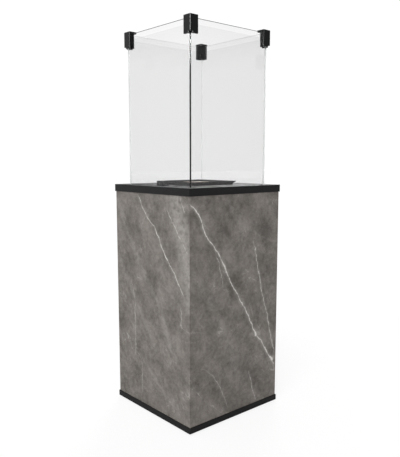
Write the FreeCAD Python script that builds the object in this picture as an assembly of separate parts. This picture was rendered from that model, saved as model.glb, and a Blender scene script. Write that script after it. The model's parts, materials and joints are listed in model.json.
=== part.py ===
"""Glass-guarded gas fire column: a stone-clad plinth cabinet with a burner on its deck.

Millimetres.  The origin is on the floor at the centre of the column, +Z is up, the door and
the controls are on the +Y side, and the corner between the -X and -Y faces is the near one.
"""
import FreeCAD, Part
import math
import os

V = FreeCAD.Vector

# ---- driving dimensions ---------------------------------------------------------------------
COLUMN = 420.0            # width and depth of the base tray and of the deck
BODY = 414.0              # width and depth over the stone panels
FOOT_GAP = 5.0            # the base tray's skirt stands this far above the floor
BASE_TOP = 25.0           # top of the base tray, which is the floor of the cabinet
BODY_TOP = 782.0          # top of the stone panels
DECK_TOP = 807.0          # top of the deck
SHEET = 2.0               # folded steel of the base tray, posts, frame and deck
LINING = 1.5              # backing sheets behind the stone, and the thinner boxes
STONE = 6.0               # sintered stone slabs
POST_LEG = 25.0           # legs of the angle posts

GLASS = 341.0             # outer width of the square of panes
PANE = 5.0                # pane thickness
GLASS_TOP = 1325.0
GLASS_FOOT = 791.0        # the panes stand in channels under the deck's top
PANE_GAP = 0.5            # open joint between neighbouring panes
CHANNEL_FLOOR = 788.0     # underside of the channels, top of the frame that carries them
CHANNEL_WALL = 1.5
GASKET_WALL = 0.6

CLIP = 359.0              # width over the corner clips
CLIP_LEG = 33.0
CLIP_BOTTOM = 1277.0
CLIP_TOP = 1333.0
CLIP_CAP = 7.0            # thickness of the clip's top
CLIP_PAD = 1.0            # silicone pad between clip and glass, outside
CLIP_INNER_PAD = 0.5      # the same, inside
CLIP_INNER = 4.0          # thickness of the inner block's legs
CLIP_NOTCH = (9.5, 5.0)   # relief at the foot of the outer corner: width each way, height

TRAY_TOP = 200.0          # burner tray, over its rim
TRAY_FOOT = 181.0         # burner tray, over its foot
TRAY_FOOT_H = 4.5
TRAY_H = 12.6
PLENUM = 154.0
PLENUM_FLOOR = 775.0
PORT_ROWS = 9             # holes each way in the burner plate
MIXER_R = 14.0
MIXER_FOOT = 700.0
SHIELD = 250.0
SHIELD_Z = 758.0

GUARD_X = (-160.0, -136.0)   # pilot guard on the deck
GUARD_Y = (-16.0, 20.0)
GUARD_H = 16.0

PANEL_FOOT = 662.0        # underside of the control panel, above the door
RIM = 10.0                # width of the door's and the control panel's frame bars
NICHE_X = 85.0            # half width of the recess for the controls
NICHE_Z = (676.0, 752.0)
NICHE_FLOOR = 160.0       # y of the recess's floor
KNOB_X = 35.0
KNOB_R = 20.0
KNOB_PUSH = 4.0
BUTTON_X = -40.0
BUTTON_R = 8.0
BUTTON_PUSH = 6.0
CONTROL_Z = 714.0

DOOR_GAP = 2.0            # open joint all round the door
PIVOT_INSET = 4.0         # pivot axis from the door's edge and from its face
PIN_R = 2.0
BUSH_R = 3.0
RUNNING = 0.05            # radial clearance of a running fit
SCREW_CLEAR = 0.1         # radial clearance round a screw

# ---- worked out from them -------------------------------------------------------------------
HALF = COLUMN / 2
FACE = BODY / 2                          # outer face of the stone
STONE_IN = FACE - STONE                  # inner face of the stone
LINE_IN = STONE_IN - LINING              # inner face of the backing sheets
POST_IN = LINE_IN - SHEET                # inner face of the posts
GLASS_OUT = GLASS / 2
GLASS_IN = GLASS_OUT - PANE
GASKET_OUT = GLASS_OUT + GASKET_WALL
GASKET_IN = GLASS_IN - GASKET_WALL
SLOT_CLEAR = 0.7                         # deck opening beside the glass
DOOR_EDGE = STONE_IN - DOOR_GAP          # half width of the door and of the control panel
DOOR_FACE = FACE
DOOR_BACK = DOOR_FACE - 8.0
JAMB_FACE = DOOR_BACK - DOOR_GAP         # rear face of the rear posts
DOOR_FOOT = BASE_TOP + DOOR_GAP
DOOR_HEAD = PANEL_FOOT - DOOR_GAP
PIVOT = (DOOR_EDGE - PIVOT_INSET, DOOR_FACE - PIVOT_INSET)


# ---- small shapes ---------------------------------------------------------------------------
def box(x0, x1, y0, y1, z0, z1):
    return Part.makeBox(x1 - x0, y1 - y0, z1 - z0, V(x0, y0, z0))


def square(half, z0, z1):
    return box(-half, half, -half, half, z0, z1)


def ring(outer, inner, z0, z1):
    """A square ring about the column's axis, from its outer and inner half widths."""
    return square(outer, z0, z1).cut(square(inner, z0, z1))


def rod(x, y, z, r, length, axis=(0, 0, 1)):
    """A round bar that starts at a point and runs along an axis."""
    return Part.makeCylinder(r, length, V(x, y, z), V(*axis))


def pipe_end(x, y, z, r, bore, length, axis=(0, 0, 1)):
    return rod(x, y, z, r, length, axis).cut(rod(x, y, z, bore, length, axis))


def hexagon(x, y, z, across, length, axis=(0, 0, 1)):
    """A hexagonal bar, across its flats."""
    r = across / math.sqrt(3)
    corners = [V(r * math.cos(math.radians(60 * k)), r * math.sin(math.radians(60 * k)), 0)
               for k in range(7)]
    bar = Part.Face(Part.makePolygon(corners)).extrude(V(0, 0, length))
    turn = FreeCAD.Rotation(V(0, 0, 1), V(*axis))
    bar.Placement = FreeCAD.Placement(V(x, y, z), turn)
    return bar


def frustum(half0, z0, half1, z1):
    """A square block that widens or narrows from one height to another."""
    def outline(half, z):
        return Part.makePolygon([V(-half, -half, z), V(half, -half, z), V(half, half, z),
                                 V(-half, half, z), V(-half, -half, z)])
    return Part.makeLoft([outline(half0, z0), outline(half1, z1)], True, True)


def turned(shape, degrees):
    """A copy of the shape turned about the column's axis."""
    copy = shape.copy()
    copy.rotate(V(0, 0, 0), V(0, 0, 1), degrees)
    return copy


def quarter(side):
    """The wedge of space that belongs to one side: 0 is -Y, 1 is +X, 2 is +Y, 3 is -X."""
    reach = HALF + 50
    wedge = Part.Face(Part.makePolygon([V(0, 0, 0), V(reach, -reach, 0), V(-reach, -reach, 0),
                                        V(0, 0, 0)])).extrude(V(0, 0, 1500))
    return turned(wedge, 90 * side)


def four(shape):
    """Four copies of a shape, one a quarter turn after the other."""
    return Part.makeCompound([turned(shape, 90 * k) for k in range(4)])


def screw(x, y, z, axis, length, head_r=4.5, head_h=1.6, shank_r=2.5):
    """A button-head screw: the point is under its head, and the shank runs along the axis."""
    back = tuple(-a for a in axis)
    return rod(x, y, z, shank_r, length, axis).fuse(rod(x, y, z, head_r, head_h, back))


def screw_hole(x, y, z, axis, length, shank_r=2.5):
    return rod(x, y, z, shank_r + SCREW_CLEAR, length, axis)


def tube(points, r, bend):
    """A round tube along straight runs that are joined by tangent arcs of one bend radius."""
    edges = []
    start = V(*points[0])
    for before, here, after in zip(points, points[1:], points[2:]):
        corner = V(*here)
        back = (V(*before) - corner).normalize()
        on = (V(*after) - corner).normalize()
        half_turn = (math.pi - back.getAngle(on)) / 2
        reach = bend * math.tan(half_turn)
        enter = corner + back * reach
        leave = corner + on * reach
        inward = (back + on).normalize()
        middle = corner + inward * (bend / math.cos(half_turn) - bend)
        edges.append(Part.LineSegment(start, enter).toShape())
        edges.append(Part.Arc(enter, middle, leave).toShape())
        start = leave
    edges.append(Part.LineSegment(start, V(*points[-1])).toShape())
    path = Part.Wire(edges)
    heading = V(*points[1]) - V(*points[0])
    profile = Part.Wire(Part.Circle(V(*points[0]), heading, r).toShape())
    body = path.makePipeShell([profile], True, False)
    return body


# ---- base and cabinet -----------------------------------------------------------------------
FOOT_AT = 165.0
FOOT_R = 18.0
SEAT = 155.0                             # half width inside the cylinder seat
SEAT_H = 15.0
JAMB_WIDTH = LINE_IN - 172.0             # rear posts' flange, which the door closes against


def base():
    plate = square(HALF, BASE_TOP - SHEET, BASE_TOP)
    skirt = ring(HALF, HALF - SHEET, FOOT_GAP, BASE_TOP - SHEET)
    vents = Part.makeCompound([box(x - 20, x + 20, y - 5, y + 5, 0, BASE_TOP + SHEET)
                               for x in (-60.0, 0.0, 60.0) for y in (-60.0, 60.0)])
    tray = plate.fuse(skirt).removeSplitter().cut(vents)
    foot = rod(-FOOT_AT, -FOOT_AT, 0, FOOT_R, BASE_TOP - SHEET)
    hole = screw_hole(-FOOT_AT, -FOOT_AT, BASE_TOP, (0, 0, -1), 16)
    tray = tray.cut(four(hole))
    tray = tray.cut(rod(PIVOT[0], PIVOT[1], 0, BUSH_R, 100))
    fixing = screw(-FOOT_AT, -FOOT_AT, BASE_TOP, (0, 0, -1), 16)
    out = SEAT + SHEET
    seat = box(-out, out, -out, SEAT, BASE_TOP, BASE_TOP + SEAT_H)
    seat = seat.cut(box(-SEAT, SEAT, -SEAT, SEAT, BASE_TOP + SHEET, BASE_TOP + SEAT_H))
    seat = seat.cut(vents)
    return {
        "base_tray": tray,
        "rubber_feet": four(foot.cut(hole)),
        "foot_screws": four(fixing),
        "cylinder_seat": seat,
    }


def posts():
    front = box(-LINE_IN, -LINE_IN + POST_LEG, -LINE_IN, -LINE_IN + SHEET, BASE_TOP, BODY_TOP)
    front = front.fuse(box(-LINE_IN, -POST_IN, -LINE_IN, -LINE_IN + POST_LEG, BASE_TOP,
                           BODY_TOP)).removeSplitter()
    rear = box(-LINE_IN, -LINE_IN + JAMB_WIDTH, JAMB_FACE - SHEET, JAMB_FACE, BASE_TOP, BODY_TOP)
    rear = rear.fuse(box(-LINE_IN, -POST_IN, JAMB_FACE - POST_LEG, JAMB_FACE, BASE_TOP,
                         BODY_TOP)).removeSplitter()
    holes = []
    for z in PANEL_SCREW_Z:
        holes.append(screw_hole(-PANEL_SCREW_X, DOOR_FACE, z, (0, -1, 0), 16))
    for y in FRAME_SCREW_Y:
        holes.append(screw_hole(-FRAME_OUT + SHEET, y, FRAME_SCREW_Z, (-1, 0, 0), SHEET * 2))
    front = front.cut(Part.makeCompound(holes))
    rear = rear.cut(Part.makeCompound(holes))
    mirror = (V(0, 0, 0), V(1, 0, 0))
    return {
        "post_front_left": front,
        "post_front_right": front.mirror(*mirror),
        "post_rear_left": rear,
        "post_rear_right": rear.mirror(*mirror),
    }


def cladding():
    """Backing sheets on the posts, and the mitred stone slabs bonded to them."""
    slabs = ring(FACE, STONE_IN, BASE_TOP, BODY_TOP)
    front = slabs.common(quarter(0))
    corner_to_back = box(-FACE, -STONE_IN, -FACE, FACE, BASE_TOP, BODY_TOP)
    left = corner_to_back.cut(quarter(0))
    side = box(-STONE_IN, -LINE_IN, -STONE_IN, JAMB_FACE, BASE_TOP, BODY_TOP)
    mirror = (V(0, 0, 0), V(1, 0, 0))
    return {
        "stone_front": front,
        "stone_left": left,
        "stone_right": left.mirror(*mirror),
        "backing_front": box(-LINE_IN, LINE_IN, -STONE_IN, -LINE_IN, BASE_TOP, BODY_TOP),
        "backing_left": side,
        "backing_right": side.mirror(*mirror),
    }


# ---- top frame, deck and glass --------------------------------------------------------------
FRAME_OUT = POST_IN
FRAME_REAR = JAMB_FACE - SHEET
FRAME_FOOT = 757.0
FRAME_REACH = 150.0                      # the frame's shelf runs in to this half width
FRAME_SCREW_Y = (-186.0, 184.0)
FRAME_SCREW_Z = 770.0
PANEL_SCREW_X = 186.0
PANEL_SCREW_Z = (680.0, 745.0)


def top_frame():
    outer = box(-FRAME_OUT, FRAME_OUT, -FRAME_OUT, FRAME_REAR, FRAME_FOOT, CHANNEL_FLOOR)
    inside = box(-FRAME_OUT + SHEET, FRAME_OUT - SHEET, -FRAME_OUT + SHEET, FRAME_REAR - SHEET,
                 FRAME_FOOT, CHANNEL_FLOOR - SHEET)
    window = square(FRAME_REACH, FRAME_FOOT, CHANNEL_FLOOR)
    frame = outer.cut(inside).cut(window)
    bolts = []
    for side in (-1, 1):
        for y in FRAME_SCREW_Y:
            start = side * (FRAME_OUT - SHEET)
            frame = frame.cut(screw_hole(start, y, FRAME_SCREW_Z, (side, 0, 0), SHEET * 2))
            bolts.append(screw(start, y, FRAME_SCREW_Z, (side, 0, 0), SHEET * 2))
    return {"top_frame": frame, "frame_screws": Part.makeCompound(bolts)}


def deck():
    """A folded border outside the glass, and a flat plate inside it that carries the burner."""
    top = ring(HALF, GLASS_OUT + SLOT_CLEAR, DECK_TOP - SHEET, DECK_TOP)
    skirt = ring(HALF, HALF - SHEET, BODY_TOP, DECK_TOP - SHEET)
    flange = ring(HALF - SHEET, POST_IN, BODY_TOP, BODY_TOP + SHEET)
    border = top.fuse(skirt).fuse(flange).removeSplitter()
    plate = square(GLASS_IN - SLOT_CLEAR, DECK_TOP - SHEET, DECK_TOP)
    plate = plate.cut(square(PLENUM / 2 + 3, DECK_TOP - SHEET, DECK_TOP))
    for x, y, r in (PILOT_AT, SPARK_AT, THERMO_AT):
        plate = plate.cut(rod(x, y, DECK_TOP - SHEET, r + 0.5, SHEET))
    return {"deck_border": border, "deck_plate": plate}


def glass_guard():
    channel_out = GASKET_OUT + CHANNEL_WALL
    channel_in = GASKET_IN - CHANNEL_WALL
    under_deck = DECK_TOP - SHEET
    channel = ring(channel_out, channel_in, CHANNEL_FLOOR, under_deck)
    channel = channel.cut(ring(GASKET_OUT, GASKET_IN, CHANNEL_FLOOR + CHANNEL_WALL, under_deck))
    gasket = ring(GASKET_OUT, GASKET_IN, CHANNEL_FLOOR + CHANNEL_WALL, under_deck)
    gasket = gasket.cut(ring(GLASS_OUT, GLASS_IN, GLASS_FOOT, under_deck))
    side_reach = GLASS_IN - PANE_GAP
    return {
        "glass_channels": Part.makeCompound([channel.common(quarter(k)) for k in range(4)]),
        "glass_gaskets": Part.makeCompound([gasket.common(quarter(k)) for k in range(4)]),
        "pane_front": box(-GLASS_OUT, GLASS_OUT, -GLASS_OUT, -GLASS_IN, GLASS_FOOT, GLASS_TOP),
        "pane_rear": box(-GLASS_OUT, GLASS_OUT, GLASS_IN, GLASS_OUT, GLASS_FOOT, GLASS_TOP),
        "pane_left": box(-GLASS_OUT, -GLASS_IN, -side_reach, side_reach, GLASS_FOOT, GLASS_TOP),
        "pane_right": box(GLASS_IN, GLASS_OUT, -side_reach, side_reach, GLASS_FOOT, GLASS_TOP),
    }


def clips():
    """The near corner's clip, and three more like it: cover, inner block, pads and screw."""
    outer = -CLIP / 2
    cover_in = -GLASS_OUT - CLIP_PAD
    tip = outer + CLIP_LEG
    cap_foot = CLIP_TOP - CLIP_CAP
    cover = box(outer, tip, outer, tip, CLIP_BOTTOM, CLIP_TOP)
    cover = cover.cut(box(cover_in, 0, cover_in, 0, CLIP_BOTTOM, cap_foot))
    wide, high = CLIP_NOTCH
    cover = cover.cut(box(outer, outer + wide, outer, outer + wide, CLIP_BOTTOM,
                          CLIP_BOTTOM + high))

    block_out = -GLASS_IN + CLIP_INNER_PAD
    block_in = block_out + CLIP_INNER
    boss = block_out + 3 * CLIP_INNER
    block = box(block_out, tip, block_out, tip, CLIP_BOTTOM + 3, cap_foot)
    block = block.cut(box(block_in, 0, block_in, 0, CLIP_BOTTOM, cap_foot))
    block = block.fuse(box(block_out, boss, block_out, boss, CLIP_BOTTOM + 20, cap_foot))
    block = block.removeSplitter()
    centre = (block_out + boss) / 2
    sunk = Part.makeCone(4.0, 2.0, 2.0, V(centre, centre, CLIP_TOP), V(0, 0, -1))
    shank = rod(centre, centre, CLIP_TOP, 2.0, 25, (0, 0, -1))
    fixing = sunk.fuse(shank).removeSplitter()

    pad_foot = CLIP_BOTTOM + 8
    outside = box(cover_in, tip, cover_in, tip, pad_foot, GLASS_TOP)
    outside = outside.cut(box(-GLASS_OUT, 0, -GLASS_OUT, 0, pad_foot, GLASS_TOP))
    inside = box(-GLASS_IN, tip, -GLASS_IN, tip, pad_foot, GLASS_TOP)
    inside = inside.cut(box(block_out, 0, block_out, 0, pad_foot, GLASS_TOP))
    pads = [turned(pad, 90 * k) for k in range(4) for pad in (outside, inside)]
    return {
        "clip_covers": four(cover.cut(fixing)),
        "clip_blocks": four(block.cut(fixing)),
        "clip_screws": four(fixing),
        "clip_pads": Part.makeCompound(pads),
    }


# ---- burner and pilot -----------------------------------------------------------------------
PLATE_FOOT = 812.0
STANDOFF_AT = 110.0
PILOT_AT = (-145.0, -6.0, 4.0)           # x, y and radius of the pieces through the deck
SPARK_AT = (-146.0, 6.0, 2.5)
THERMO_AT = (-143.0, 13.0, 3.0)
PILOT_FOOT = 770.0


def burner():
    foot_top = DECK_TOP + TRAY_FOOT_H
    rim = DECK_TOP + TRAY_H
    tray = square(TRAY_FOOT / 2, DECK_TOP, foot_top)
    tray = tray.fuse(frustum(TRAY_FOOT / 2, foot_top, TRAY_TOP / 2, rim))
    floor_top = DECK_TOP + SHEET
    hollow = square(TRAY_FOOT / 2 - SHEET, floor_top, foot_top)
    hollow = hollow.fuse(frustum(TRAY_FOOT / 2 - SHEET, foot_top, TRAY_TOP / 2 - SHEET, rim))
    tray = tray.cut(hollow).cut(square(PLENUM / 2 + 1, DECK_TOP, rim)).removeSplitter()

    half = PLENUM / 2
    plenum = square(half, PLENUM_FLOOR, PLATE_FOOT)
    plenum = plenum.cut(square(half - LINING, PLENUM_FLOOR + LINING, PLATE_FOOT))
    plenum = plenum.cut(rod(0, 0, PLENUM_FLOOR, MIXER_R, LINING))
    plate = square(half, PLATE_FOOT, PLATE_FOOT + LINING)
    pitch = (PLENUM - 20) / (PORT_ROWS - 1)
    ports = [rod((col - PORT_ROWS // 2) * pitch, (row - PORT_ROWS // 2) * pitch, PLATE_FOOT,
                 2.0, LINING) for col in range(PORT_ROWS) for row in range(PORT_ROWS)]
    plate = plate.cut(Part.makeCompound(ports))

    mixer = pipe_end(0, 0, MIXER_FOOT, MIXER_R, MIXER_R - LINING,
                     PLENUM_FLOOR + LINING - MIXER_FOOT)
    mixer = mixer.fuse(pipe_end(0, 0, MIXER_FOOT, MIXER_R, 5.0, 3.0))
    mixer = mixer.cut(box(-30, 30, -5, 5, MIXER_FOOT + 6, MIXER_FOOT + 18))
    injector = hexagon(0, 0, MIXER_FOOT - 10, 14, 10).fuse(rod(0, 0, MIXER_FOOT, 5.0, 12))
    injector = injector.cut(rod(0, 0, MIXER_FOOT - 10, 0.8, 22))

    shield = square(SHIELD / 2, SHIELD_Z, SHIELD_Z + 10)
    shield = shield.cut(square(SHIELD / 2 - LINING, SHIELD_Z + LINING, SHIELD_Z + 10))
    shield = shield.cut(rod(0, 0, SHIELD_Z, MIXER_R + 1, LINING))
    stem_foot = SHIELD_Z + LINING
    stem = hexagon(-STANDOFF_AT, -STANDOFF_AT, stem_foot, 8, DECK_TOP - SHEET - stem_foot)
    return {
        "burner_tray": tray,
        "burner_plenum": plenum,
        "burner_plate": plate,
        "mixer_tube": mixer,
        "injector": injector,
        "heat_shield": shield,
        "shield_standoffs": four(stem),
    }


def pilot():
    top = DECK_TOP + GUARD_H
    guard = box(*GUARD_X, *GUARD_Y, DECK_TOP, top)
    hollow = box(GUARD_X[0] + LINING, GUARD_X[1], GUARD_Y[0] + LINING, GUARD_Y[1] - LINING,
                 DECK_TOP, top - LINING)
    guard = guard.cut(hollow)
    x, y, r = PILOT_AT
    jet = rod(x, y, PILOT_FOOT, r, DECK_TOP + 8 - PILOT_FOOT)
    jet = jet.fuse(hexagon(x, y, PILOT_FOOT, 11, 12)).cut(rod(x, y, PILOT_FOOT, 1.0, 60))
    x, y, r = SPARK_AT
    spark = rod(x, y, PILOT_FOOT + 5, r, DECK_TOP - PILOT_FOOT)
    spark = spark.fuse(rod(x, y, DECK_TOP + 5, 0.9, 5))
    x, y, r = THERMO_AT
    thermo = rod(x, y, PILOT_FOOT + 5, r, DECK_TOP + 3 - PILOT_FOOT)
    thermo = thermo.fuse(rod(x, y, DECK_TOP + 8, 2.0, 3))
    return {
        "pilot_guard": guard,
        "pilot_burner": jet,
        "spark_electrode": spark,
        "thermocouple": thermo,
    }


# ---- controls and gas train -----------------------------------------------------------------
VALVE_FRONT = NICHE_FLOOR - LINING       # the valve and the igniter bolt to the recess's back
VALVE_BACK = 108.0
SPINDLE_R = 4.0
SPINDLE_END = 150.0
KNOB_BACK = NICHE_FLOOR + KNOB_PUSH + 1.0
KNOB_DEPTH = 22.0
BUTTON_BACK = 152.0
IGNITER_BACK = 110.0


def control_panel():
    z0, z1 = NICHE_Z
    panel = box(-DOOR_EDGE, DOOR_EDGE, JAMB_FACE, DOOR_FACE, PANEL_FOOT, BODY_TOP)
    pocket = box(-DOOR_EDGE + RIM, DOOR_EDGE - RIM, JAMB_FACE, DOOR_FACE - SHEET,
                 PANEL_FOOT + RIM, BODY_TOP - RIM)
    panel = panel.cut(pocket).cut(box(-NICHE_X, NICHE_X, JAMB_FACE, DOOR_FACE, z0, z1))
    pads = [box(side * PANEL_SCREW_X - 6, side * PANEL_SCREW_X + 6, JAMB_FACE,
                DOOR_FACE - SHEET, z - 6, z + 6) for side in (-1, 1) for z in PANEL_SCREW_Z]
    panel = panel.fuse(Part.makeCompound(pads)).removeSplitter()
    fixings = []
    for side in (-1, 1):
        for z in PANEL_SCREW_Z:
            at = (side * PANEL_SCREW_X, DOOR_FACE, z, (0, -1, 0))
            panel = panel.cut(screw_hole(*at, 16))
            fixings.append(screw(*at, 14))
    panel = panel.cut(rod(PIVOT[0], PIVOT[1], PANEL_FOOT, BUSH_R, RIM))

    niche = box(-NICHE_X, NICHE_X, VALVE_FRONT, DOOR_FACE, z0, z1)
    niche = niche.cut(box(-NICHE_X + LINING, NICHE_X - LINING, NICHE_FLOOR, DOOR_FACE,
                          z0 + LINING, z1 - LINING))
    niche = niche.cut(rod(KNOB_X, VALVE_FRONT, CONTROL_Z, SPINDLE_R + 0.5, LINING, (0, 1, 0)))
    niche = niche.cut(rod(BUTTON_X, VALVE_FRONT, CONTROL_Z, 10.0, LINING, (0, 1, 0)))
    return {
        "control_panel": panel,
        "panel_screws": Part.makeCompound(fixings),
        "control_niche": niche,
    }


def controls():
    along = (0, 1, 0)
    knob = rod(KNOB_X, KNOB_BACK, CONTROL_Z, KNOB_R, KNOB_DEPTH, along)
    knob = knob.makeFillet(1.5, [edge for edge in knob.Edges if edge.BoundBox.YLength < 0.01
                                 and edge.BoundBox.YMax > KNOB_BACK + 1])
    grip = box(KNOB_X - 3, KNOB_X + 3, KNOB_BACK + KNOB_DEPTH - 0.5, KNOB_BACK + KNOB_DEPTH + 6,
               CONTROL_Z - KNOB_R + 3, CONTROL_Z + KNOB_R - 3)
    knob = knob.fuse(grip)
    socket = rod(KNOB_X, KNOB_BACK, CONTROL_Z, SPINDLE_R, 14, along)
    knob = knob.cut(socket)
    spindle = rod(KNOB_X, SPINDLE_END, CONTROL_Z, SPINDLE_R, KNOB_BACK + 14 - SPINDLE_END, along)
    pushrod = rod(KNOB_X, 120, CONTROL_Z, 2.0, SPINDLE_END - 120, along)

    button = rod(BUTTON_X, BUTTON_BACK, CONTROL_Z, BUTTON_R, 22, along)
    button = button.makeFillet(1.5, [edge for edge in button.Edges if edge.BoundBox.YLength < 0.01
                                     and edge.BoundBox.YMax > BUTTON_BACK + 1])
    igniter = rod(BUTTON_X, IGNITER_BACK, CONTROL_Z, 13.0, VALVE_FRONT - IGNITER_BACK, along)
    igniter = igniter.fuse(rod(BUTTON_X, VALVE_FRONT, CONTROL_Z, 9.8, 5.0, along))
    bore = BUTTON_R + RUNNING
    igniter = igniter.cut(rod(BUTTON_X, BUTTON_BACK - BUTTON_PUSH - 2, CONTROL_Z, bore, 40, along))
    nut = pipe_end(BUTTON_X, NICHE_FLOOR, CONTROL_Z, 14.0, 9.8, 3.0, along)
    return {
        "control_knob": knob,
        "valve_spindle": spindle,
        "valve_pushrod": pushrod,
        "igniter_button": button,
        "igniter_body": igniter,
        "igniter_nut": nut,
    }


def gas_train():
    along = (0, 1, 0)
    block = box(KNOB_X - 18, KNOB_X + 18, VALVE_BACK, VALVE_FRONT, CONTROL_Z - 20, CONTROL_Z + 16)
    outlet_z = CONTROL_Z - 12
    block = block.fuse(hexagon(KNOB_X, VALVE_BACK, outlet_z, 15, 12, (0, -1, 0)))
    block = block.fuse(hexagon(KNOB_X - 18, 122, CONTROL_Z + 4, 10, 8, (-1, 0, 0)))
    block = block.fuse(hexagon(KNOB_X, 135, CONTROL_Z - 20, 19, 8, (0, 0, -1)))
    block = block.removeSplitter()
    block = block.cut(rod(KNOB_X, SPINDLE_END - KNOB_PUSH - 2, CONTROL_Z, SPINDLE_R + RUNNING,
                          40, along))
    block = block.cut(rod(KNOB_X, 114, CONTROL_Z, 2.0 + RUNNING, 40, along))

    supply = tube([(KNOB_X, VALVE_BACK - 12, outlet_z), (KNOB_X, 60, outlet_z),
                   (0, 30, 668), (0, 0, 668), (0, 0, MIXER_FOOT - 10)], 4.0, 9.0)
    pilot_x, pilot_y = PILOT_AT[:2]
    pilot_feed = tube([(KNOB_X - 26, 122, CONTROL_Z + 4), (-8, 122, CONTROL_Z + 4),
                       (-22, 88, 722), (-90, 70, 738), (pilot_x, 24, 742),
                       (pilot_x, pilot_y, 742), (pilot_x, pilot_y, PILOT_FOOT)], 2.0, 10.0)
    drop = CONTROL_Z - 28
    inlet_pipe = rod(KNOB_X, 135, 668, 5.0, drop - 668)
    nipple = hexagon(KNOB_X, 135, 658, 17, 10).fuse(rod(KNOB_X, 135, 644, INLET_R, 14))
    nipple = nipple.cut(rod(KNOB_X, 135, 640, 3.0, 40)).removeSplitter()
    return {
        "gas_valve": block,
        "supply_pipe": supply,
        "pilot_pipe": pilot_feed,
        "inlet_pipe": inlet_pipe,
        "gas_inlet": nipple,
    }


INLET_R = 6.58                           # G 1/4 left-hand thread, 13.157 over its crests


# ---- door -----------------------------------------------------------------------------------
PULL_X = (-166.0, -138.0)
PULL_Z = (430.0, 510.0)
PULL_BACK = 187.0
CATCH_Z = (600.0, 640.0)


def door():
    frame = box(-DOOR_EDGE, DOOR_EDGE, DOOR_BACK, DOOR_FACE, DOOR_FOOT, DOOR_HEAD)
    inner_x = DOOR_EDGE - RIM
    slab = box(-inner_x, inner_x, DOOR_FACE - STONE, DOOR_FACE, DOOR_FOOT + RIM, DOOR_HEAD - RIM)
    cup_space = box(*PULL_X, PULL_BACK, DOOR_FACE, *PULL_Z)
    frame = frame.cut(slab).cut(cup_space)
    pins = []
    for start in (DOOR_FOOT - 12, DOOR_HEAD - 20):
        pins.append(rod(PIVOT[0], PIVOT[1], start, PIN_R, 32 if start < 100 else 29))
    pins = Part.makeCompound(pins)
    frame = frame.cut(pins)
    hollow = box(PULL_X[0] + LINING, PULL_X[1] - LINING, PULL_BACK + LINING, DOOR_FACE,
                 PULL_Z[0] + LINING, PULL_Z[1] - LINING)
    strike = box(-171, -159, DOOR_BACK - 1, DOOR_BACK, *CATCH_Z)
    lower_bush = pipe_end(PIVOT[0], PIVOT[1], BASE_TOP - 12, BUSH_R, PIN_R + RUNNING, 12)
    lower_bush = lower_bush.fuse(pipe_end(PIVOT[0], PIVOT[1], BASE_TOP - 12, 4.5,
                                          PIN_R + RUNNING, 10)).removeSplitter()
    upper_bush = pipe_end(PIVOT[0], PIVOT[1], PANEL_FOOT, BUSH_R, PIN_R + RUNNING, RIM)
    magnet = box(-172, -158, 183, DOOR_BACK - 1.3, *CATCH_Z)
    magnet = magnet.fuse(box(-192, -172, 191, JAMB_FACE - SHEET, *CATCH_Z)).removeSplitter()
    return {
        "door_frame": frame,
        "door_stone": slab.cut(cup_space),
        "door_pull": cup_space.cut(hollow),
        "door_pins": pins,
        "door_strike": strike,
        "pivot_bushes": Part.makeCompound([lower_bush, upper_bush]),
        "magnet_catch": magnet,
    }


def main():
    os.makedirs("parts", exist_ok=True)
    sections = (base, posts, cladding, top_frame, deck, glass_guard, clips, burner, pilot,
                control_panel, controls, gas_train, door)
    for section in sections:
        for node, shape in section().items():
            solids = shape.Solids
            if not solids or not all(solid.isValid() and solid.isClosed() for solid in solids):
                raise ValueError(node + " is not a closed solid")
            keep = solids[0] if len(solids) == 1 else Part.makeCompound(solids)
            keep.exportStep("parts/" + node + ".step")
            print(node, len(solids), round(keep.Volume))


main()
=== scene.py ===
"""Glass-guarded gas fire column on a stone-clad plinth: its finished look over the CAD frame.

Metres.  The origin is on the floor at the centre of the column, +Z is up, the door and the
controls are on the +Y side, and the corner between the -X and -Y faces is the near one.
"""
import json
import math

import bmesh
import bpy
from bpy.props import FloatProperty, FloatVectorProperty, IntProperty, PointerProperty
from bpy.types import Operator, Panel, PropertyGroup
from mathutils import Euler, Matrix, Vector

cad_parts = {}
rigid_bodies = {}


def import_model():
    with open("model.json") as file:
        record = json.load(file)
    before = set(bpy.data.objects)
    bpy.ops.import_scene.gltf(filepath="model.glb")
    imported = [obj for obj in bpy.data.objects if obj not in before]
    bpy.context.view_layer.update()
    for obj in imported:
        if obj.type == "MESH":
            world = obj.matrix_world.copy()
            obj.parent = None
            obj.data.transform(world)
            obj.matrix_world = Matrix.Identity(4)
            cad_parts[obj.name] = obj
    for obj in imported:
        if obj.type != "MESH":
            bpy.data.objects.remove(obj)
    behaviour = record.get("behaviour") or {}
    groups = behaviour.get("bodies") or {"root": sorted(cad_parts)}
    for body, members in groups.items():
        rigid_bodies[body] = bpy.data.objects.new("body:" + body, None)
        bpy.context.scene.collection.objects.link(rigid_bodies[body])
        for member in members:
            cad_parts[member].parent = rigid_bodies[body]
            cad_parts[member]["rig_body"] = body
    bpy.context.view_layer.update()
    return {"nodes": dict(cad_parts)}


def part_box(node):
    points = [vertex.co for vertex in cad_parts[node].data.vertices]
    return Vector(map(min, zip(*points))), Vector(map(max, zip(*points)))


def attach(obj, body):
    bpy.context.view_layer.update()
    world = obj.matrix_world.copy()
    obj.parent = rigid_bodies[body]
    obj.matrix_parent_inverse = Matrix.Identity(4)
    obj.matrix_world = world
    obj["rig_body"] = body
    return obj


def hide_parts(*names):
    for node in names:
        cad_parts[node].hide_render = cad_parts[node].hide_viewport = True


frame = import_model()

bl_info = {
    "name": "Stone-clad plinth",
    "version": (1, 0, 0),
    "blender": (4, 5, 0),
    "location": "View3D > Sidebar > Plinth",
    "description": "Builds the finished pieces and materials of a stone-clad plinth "
                   "with a glass guard",
    "category": "Object",
}

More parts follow.
